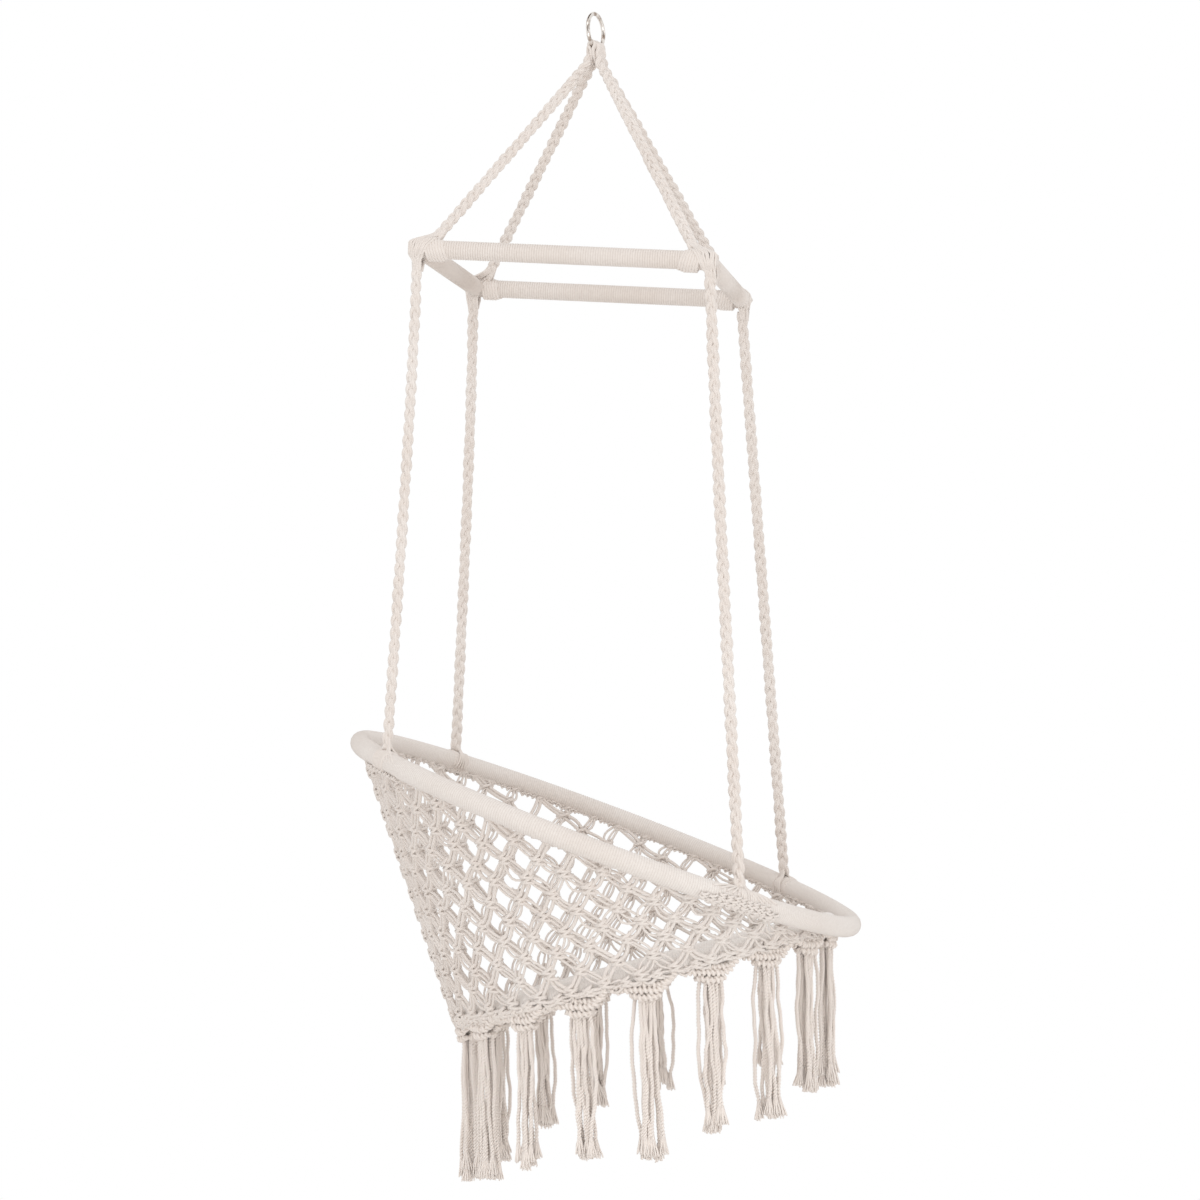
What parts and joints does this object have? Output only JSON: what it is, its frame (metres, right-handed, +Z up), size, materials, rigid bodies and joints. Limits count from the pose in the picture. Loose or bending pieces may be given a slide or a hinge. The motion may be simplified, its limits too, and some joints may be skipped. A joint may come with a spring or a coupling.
{
  "type": "hammock chair",
  "caption": "Hanging hammock chair: a knotted net bowl between a tilted hoop and a seat ring fringed with tassels, on braided ropes under a square spreader and a steel ring.",
  "frame": {"origin": "the highest point inside the hanging ring, where the hook bears", "axes": "+Z up, +X to the open front of the seat, +Y to the sitter's left"},
  "size_m": [0.7393, 0.7976, 1.7222],
  "materials": {
    "ring_steel": "bright plated round wire",
    "tube_steel": "plain steel tube, hidden by its cord wrap",
    "braided_rope": "soft three-strand braid of off-white cotton cord",
    "wound_cord": "off-white cotton cord wound closely side by side",
    "net_cord": "off-white cotton cord knotted into open diamonds",
    "tassel_cotton": "loose off-white cotton cords with frayed ends"
  },
  "bodies": {
    "hanger": {"hanging_ring": "ring_steel"},
    "saddle": {"cord_saddle": "braided_rope"},
    "spreader": {"cord_bundle": "braided_rope", "upper_rope_rear_left": "braided_rope", "upper_rope_rear_right": "braided_rope", "upper_rope_front_left": "braided_rope", "upper_rope_front_right": "braided_rope", "spreader_tube": "tube_steel", "spreader_wrap_right": "wound_cord", "spreader_wrap_left": "wound_cord", "spreader_wrap_rear": "wound_cord", "spreader_wrap_front": "wound_cord", "corner_lashing_rear_left": "wound_cord", "corner_lashing_rear_right": "wound_cord", "corner_lashing_front_left": "wound_cord", "corner_lashing_front_right": "wound_cord", "corner_knot_rear_left": "braided_rope", "corner_knot_rear_right": "braided_rope", "corner_knot_front_left": "braided_rope", "corner_knot_front_right": "braided_rope"},
    "rear_ropes": {"lower_rope_rear_left": "braided_rope", "lower_rope_rear_right": "braided_rope"},
    "front_ropes": {"lower_rope_front_left": "braided_rope", "lower_rope_front_right": "braided_rope"},
    "seat": {"hoop_tube": "tube_steel", "hoop_wrap": "wound_cord", "hoop_knot_rear_left": "wound_cord", "hoop_knot_rear_right": "wound_cord", "hoop_knot_front_left": "wound_cord", "hoop_knot_front_right": "wound_cord", "seat_ring_tube": "tube_steel", "seat_ring_wrap": "wound_cord", "side_net": "net_cord", "seat_net": "net_cord"},
    "tassel_1": {"tassel_01": "tassel_cotton"},
    "tassel_2": {"tassel_02": "tassel_cotton"},
    "tassel_3": {"tassel_03": "tassel_cotton"},
    "tassel_4": {"tassel_04": "tassel_cotton"},
    "tassel_5": {"tassel_05": "tassel_cotton"},
    "tassel_6": {"tassel_06": "tassel_cotton"},
    "tassel_7": {"tassel_07": "tassel_cotton"},
    "tassel_8": {"tassel_08": "tassel_cotton"},
    "tassel_9": {"tassel_09": "tassel_cotton"},
    "tassel_10": {"tassel_10": "tassel_cotton"},
    "tassel_11": {"tassel_11": "tassel_cotton"},
    "tassel_12": {"tassel_12": "tassel_cotton"},
    "tassel_13": {"tassel_13": "tassel_cotton"},
    "tassel_14": {"tassel_14": "tassel_cotton"},
    "tassel_15": {"tassel_15": "tassel_cotton"},
    "tassel_16": {"tassel_16": "tassel_cotton"},
    "tassel_17": {"tassel_17": "tassel_cotton"},
    "tassel_18": {"tassel_18": "tassel_cotton"}
  },
  "joints": [
    {"name": "swing_sideways", "type": "hinge", "parent": "hanger", "child": "saddle", "pos_m": [0, 0, -0.023], "axis": [0.9563, -0.2924, 0], "range_deg": [-20, 20]},
    {"name": "swing_fore_aft", "type": "hinge", "parent": "saddle", "child": "spreader", "pos_m": [0, 0, -0.049], "axis": [0.2924, 0.9563, 0], "range_deg": [-25, 25]},
    {"name": "seat_sway", "type": "hinge", "parent": "spreader", "child": "rear_ropes", "pos_m": [-0.22921, 0, -0.39357], "axis": [0, 1, 0], "range_deg": [-8, 8]},
    {"name": "front_rope_swing", "type": "hinge", "parent": "spreader", "child": "front_ropes", "pos_m": [0.18521, 0, -0.42983], "axis": [0, 1, 0], "range_deg": [-8, 8]},
    {"name": "seat_tilt", "type": "hinge", "parent": "rear_ropes", "child": "seat", "pos_m": [-0.28305, 0, -1.07858], "axis": [0, 1, 0], "range_deg": [-8, 8]},
    {"name": "tassel_swing_01", "type": "hinge", "parent": "seat", "child": "tassel_1", "pos_m": [0.31138, -0.01406, -1.37448], "axis": [0.2924, 0.9563, 0], "range_deg": [-25, 25]},
    {"name": "tassel_swing_02", "type": "hinge", "parent": "seat", "child": "tassel_2", "pos_m": [0.30054, 0.0786, -1.37717], "axis": [0.2924, 0.9563, 0], "range_deg": [-25, 25]},
    {"name": "tassel_swing_03", "type": "hinge", "parent": "seat", "child": "tassel_3", "pos_m": [0.26001, 0.16226, -1.38723], "axis": [0.2924, 0.9563, 0], "range_deg": [-25, 25]},
    {"name": "tassel_swing_04", "type": "hinge", "parent": "seat", "child": "tassel_4", "pos_m": [0.19424, 0.22723, -1.40356], "axis": [0.2924, 0.9563, 0], "range_deg": [-25, 25]},
    {"name": "tassel_swing_05", "type": "hinge", "parent": "seat", "child": "tassel_5", "pos_m": [0.1105, 0.26573, -1.42409], "axis": [0.2924, 0.9563, 0], "range_deg": [-25, 25]},
    {"name": "tassel_swing_06", "type": "hinge", "parent": "seat", "child": "tassel_6", "pos_m": [0.01831, 0.27265, -1.44628], "axis": [0.2924, 0.9563, 0], "range_deg": [-25, 25]},
    {"name": "tassel_swing_07", "type": "hinge", "parent": "seat", "child": "tassel_7", "pos_m": [-0.0713, 0.24642, -1.46746], "axis": [0.2924, 0.9563, 0], "range_deg": [-25, 25]},
    {"name": "tassel_swing_08", "type": "hinge", "parent": "seat", "child": "tassel_8", "pos_m": [-0.14706, 0.18962, -1.48511], "axis": [0.2924, 0.9563, 0], "range_deg": [-25, 25]},
    {"name": "tassel_swing_09", "type": "hinge", "parent": "seat", "child": "tassel_9", "pos_m": [-0.19914, 0.10901, -1.49721], "axis": [0.2924, 0.9563, 0], "range_deg": [-25, 25]},
    {"name": "tassel_swing_10", "type": "hinge", "parent": "seat", "child": "tassel_10", "pos_m": [-0.22075, 0.01462, -1.50223], "axis": [0.2924, 0.9563, 0], "range_deg": [-25, 25]},
    {"name": "tassel_swing_11", "type": "hinge", "parent": "seat", "child": "tassel_11", "pos_m": [-0.20904, -0.08162, -1.49951], "axis": [0.2924, 0.9563, 0], "range_deg": [-25, 25]},
    {"name": "tassel_swing_12", "type": "hinge", "parent": "seat", "child": "tassel_12", "pos_m": [-0.16555, -0.16753, -1.4894], "axis": [0.2924, 0.9563, 0], "range_deg": [-25, 25]},
    {"name": "tassel_swing_13", "type": "hinge", "parent": "seat", "child": "tassel_13", "pos_m": [-0.09597, -0.23236, -1.47323], "axis": [0.2924, 0.9563, 0], "range_deg": [-25, 25]},
    {"name": "tassel_swing_14", "type": "hinge", "parent": "seat", "child": "tassel_14", "pos_m": [-0.00937, -0.26823, -1.45286], "axis": [0.2924, 0.9563, 0], "range_deg": [-25, 25]},
    {"name": "tassel_swing_15", "type": "hinge", "parent": "seat", "child": "tassel_15", "pos_m": [0.08325, -0.27127, -1.43069], "axis": [0.2924, 0.9563, 0], "range_deg": [-25, 25]},
    {"name": "tassel_swing_16", "type": "hinge", "parent": "seat", "child": "tassel_16", "pos_m": [0.17061, -0.24185, -1.40939], "axis": [0.2924, 0.9563, 0], "range_deg": [-25, 25]},
    {"name": "tassel_swing_17", "type": "hinge", "parent": "seat", "child": "tassel_17", "pos_m": [0.24265, -0.18412, -1.39155], "axis": [0.2924, 0.9563, 0], "range_deg": [-25, 25]},
    {"name": "tassel_swing_18", "type": "hinge", "parent": "seat", "child": "tassel_18", "pos_m": [0.29135, -0.10511, -1.37945], "axis": [0.2924, 0.9563, 0], "range_deg": [-25, 25]}
  ],
  "couplings": [
    {"joint": "front_rope_swing", "follows": "seat_sway", "ratio": 0.84305},
    {"joint": "seat_tilt", "follows": "seat_sway", "ratio": -0.83517},
    {"joint": "tassel_swing_01", "follows": "swing_fore_aft", "ratio": -1},
    {"joint": "tassel_swing_02", "follows": "swing_fore_aft", "ratio": -1},
    {"joint": "tassel_swing_03", "follows": "swing_fore_aft", "ratio": -1},
    {"joint": "tassel_swing_04", "follows": "swing_fore_aft", "ratio": -1},
    {"joint": "tassel_swing_05", "follows": "swing_fore_aft", "ratio": -1},
    {"joint": "tassel_swing_06", "follows": "swing_fore_aft", "ratio": -1},
    {"joint": "tassel_swing_07", "follows": "swing_fore_aft", "ratio": -1},
    {"joint": "tassel_swing_08", "follows": "swing_fore_aft", "ratio": -1},
    {"joint": "tassel_swing_09", "follows": "swing_fore_aft", "ratio": -1},
    {"joint": "tassel_swing_10", "follows": "swing_fore_aft", "ratio": -1},
    {"joint": "tassel_swing_11", "follows": "swing_fore_aft", "ratio": -1},
    {"joint": "tassel_swing_12", "follows": "swing_fore_aft", "ratio": -1},
    {"joint": "tassel_swing_13", "follows": "swing_fore_aft", "ratio": -1},
    {"joint": "tassel_swing_14", "follows": "swing_fore_aft", "ratio": -1},
    {"joint": "tassel_swing_15", "follows": "swing_fore_aft", "ratio": -1},
    {"joint": "tassel_swing_16", "follows": "swing_fore_aft", "ratio": -1},
    {"joint": "tassel_swing_17", "follows": "swing_fore_aft", "ratio": -1},
    {"joint": "tassel_swing_18", "follows": "swing_fore_aft", "ratio": -1}
  ]
}
